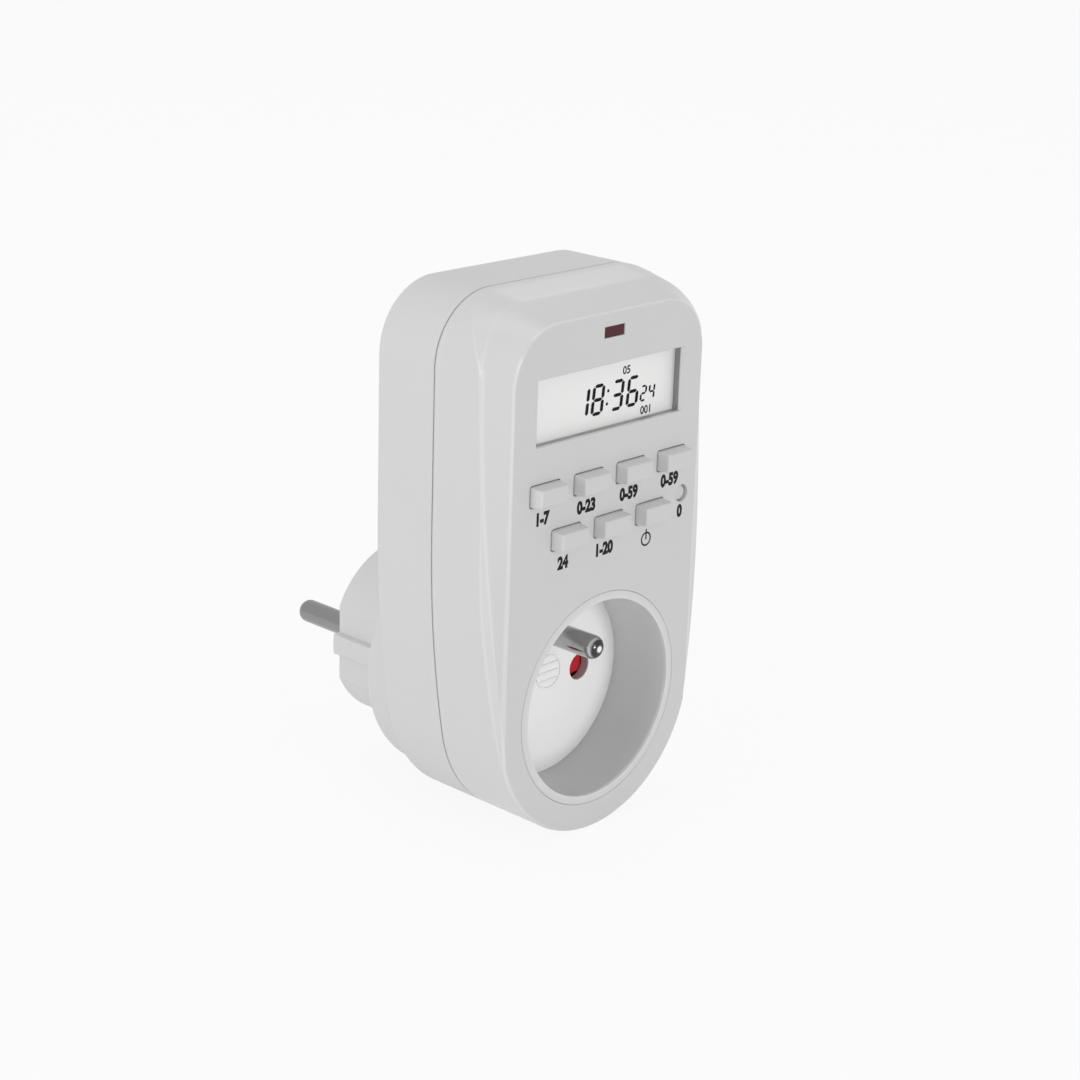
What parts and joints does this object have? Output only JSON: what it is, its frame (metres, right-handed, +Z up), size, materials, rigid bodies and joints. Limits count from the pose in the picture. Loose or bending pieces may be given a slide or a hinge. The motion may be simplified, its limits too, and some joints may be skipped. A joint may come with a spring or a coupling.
{
  "type": "plug-in timer",
  "caption": "White plug-in timer with a display and raised buttons over a recessed socket, an earth pin in the well and an earthed round plug behind.",
  "frame": {"origin": "midway between the two plug pins, on the end face of the plug", "axes": "+Y back along the plug pins into the wall, +Z up, +X to the right as seen from the front"},
  "size_m": [0.0608, 0.0784, 0.1081],
  "materials": {
    "white_shell": "fine satin moulding",
    "button_white": "fine satin moulding",
    "nickel": "satin nickel plate",
    "brass_strip": "bright",
    "red_shutter": "smooth",
    "steel_screw": "zinc plate",
    "block_grey": "moulded",
    "clear_lens": "clear",
    "lcd_glass": "pale grey display",
    "status_red": "dark red tint",
    "led_body": "diffused red",
    "rubber_grey": "plain",
    "board_green": "coated laminate",
    "chip_black": "moulded",
    "metal_can": "plain",
    "film_yellow": "dipped",
    "sleeve_blue": "sleeve",
    "fuse_brown": "moulded"
  },
  "bodies": {
    "housing": {"front_shell": "white_shell", "rear_shell": "white_shell", "plug_body": "white_shell", "socket_cup": "white_shell", "plug_pin_left": "nickel", "plug_pin_right": "nickel", "earth_pin": "nickel", "earth_clip_top": "nickel", "earth_clip_bottom": "nickel", "socket_contact_left": "brass_strip", "socket_contact_right": "brass_strip", "earth_sleeve": "brass_strip", "earth_strap": "brass_strip", "live_bus": "brass_strip", "neutral_bus": "brass_strip", "load_bus": "brass_strip", "housing_screws": "steel_screw", "control_board_screws": "steel_screw", "power_board_screws": "steel_screw", "block_screws": "steel_screw", "shutter_spring": "steel_screw", "contact_block": "block_grey", "pin_plate": "block_grey", "lcd_frame": "block_grey", "lcd_window": "clear_lens", "lcd_panel": "lcd_glass", "status_lens": "status_red", "status_led": "led_body", "elastomer_strips": "rubber_grey", "control_board": "board_green", "power_board": "board_green", "controller_chip": "chip_black", "diode_bridge": "chip_black", "board_header": "chip_black", "tact_switches": "chip_black", "relay": "chip_black", "backup_battery": "metal_can", "crystal": "metal_can", "dropper_capacitor": "film_yellow", "smoothing_capacitor": "sleeve_blue", "varistor": "sleeve_blue", "fuse": "fuse_brown"},
    "week_button_body": {"week_button": "button_white"},
    "hour_button_body": {"hour_button": "button_white"},
    "minute_button_body": {"minute_button": "button_white"},
    "second_button_body": {"second_button": "button_white"},
    "clock_button_body": {"clock_button": "button_white"},
    "program_button_body": {"program_button": "button_white"},
    "manual_button_body": {"manual_button": "button_white"},
    "reset_button_body": {"reset_button": "button_white"},
    "shutter_body": {"shutter": "red_shutter"}
  },
  "joints": [
    {"name": "week_press", "type": "slide", "parent": "housing", "child": "week_button_body", "axis": [0, 1, 0], "range_m": [0, 0.0008], "stiffness_N_per_m": 400, "springref_m": -0.0005},
    {"name": "hour_press", "type": "slide", "parent": "housing", "child": "hour_button_body", "axis": [0, 1, 0], "range_m": [0, 0.0008], "stiffness_N_per_m": 400, "springref_m": -0.0005},
    {"name": "minute_press", "type": "slide", "parent": "housing", "child": "minute_button_body", "axis": [0, 1, 0], "range_m": [0, 0.0008], "stiffness_N_per_m": 400, "springref_m": -0.0005},
    {"name": "second_press", "type": "slide", "parent": "housing", "child": "second_button_body", "axis": [0, 1, 0], "range_m": [0, 0.0008], "stiffness_N_per_m": 400, "springref_m": -0.0005},
    {"name": "clock_press", "type": "slide", "parent": "housing", "child": "clock_button_body", "axis": [0, 1, 0], "range_m": [0, 0.0008], "stiffness_N_per_m": 400, "springref_m": -0.0005},
    {"name": "program_press", "type": "slide", "parent": "housing", "child": "program_button_body", "axis": [0, 1, 0], "range_m": [0, 0.0008], "stiffness_N_per_m": 400, "springref_m": -0.0005},
    {"name": "manual_press", "type": "slide", "parent": "housing", "child": "manual_button_body", "axis": [0, 1, 0], "range_m": [0, 0.0008], "stiffness_N_per_m": 400, "springref_m": -0.0005},
    {"name": "reset_press", "type": "slide", "parent": "housing", "child": "reset_button_body", "axis": [0, 1, 0], "range_m": [0, 0.0008], "stiffness_N_per_m": 400, "springref_m": -0.0005},
    {"name": "shutter_turn", "type": "hinge", "parent": "housing", "child": "shutter_body", "pos_m": [0, -0.0391, 0], "axis": [0, 1, 0], "range_deg": [0, 36], "stiffness_Nm_per_rad": 0.01, "springref_deg": -11.46}
  ]
}
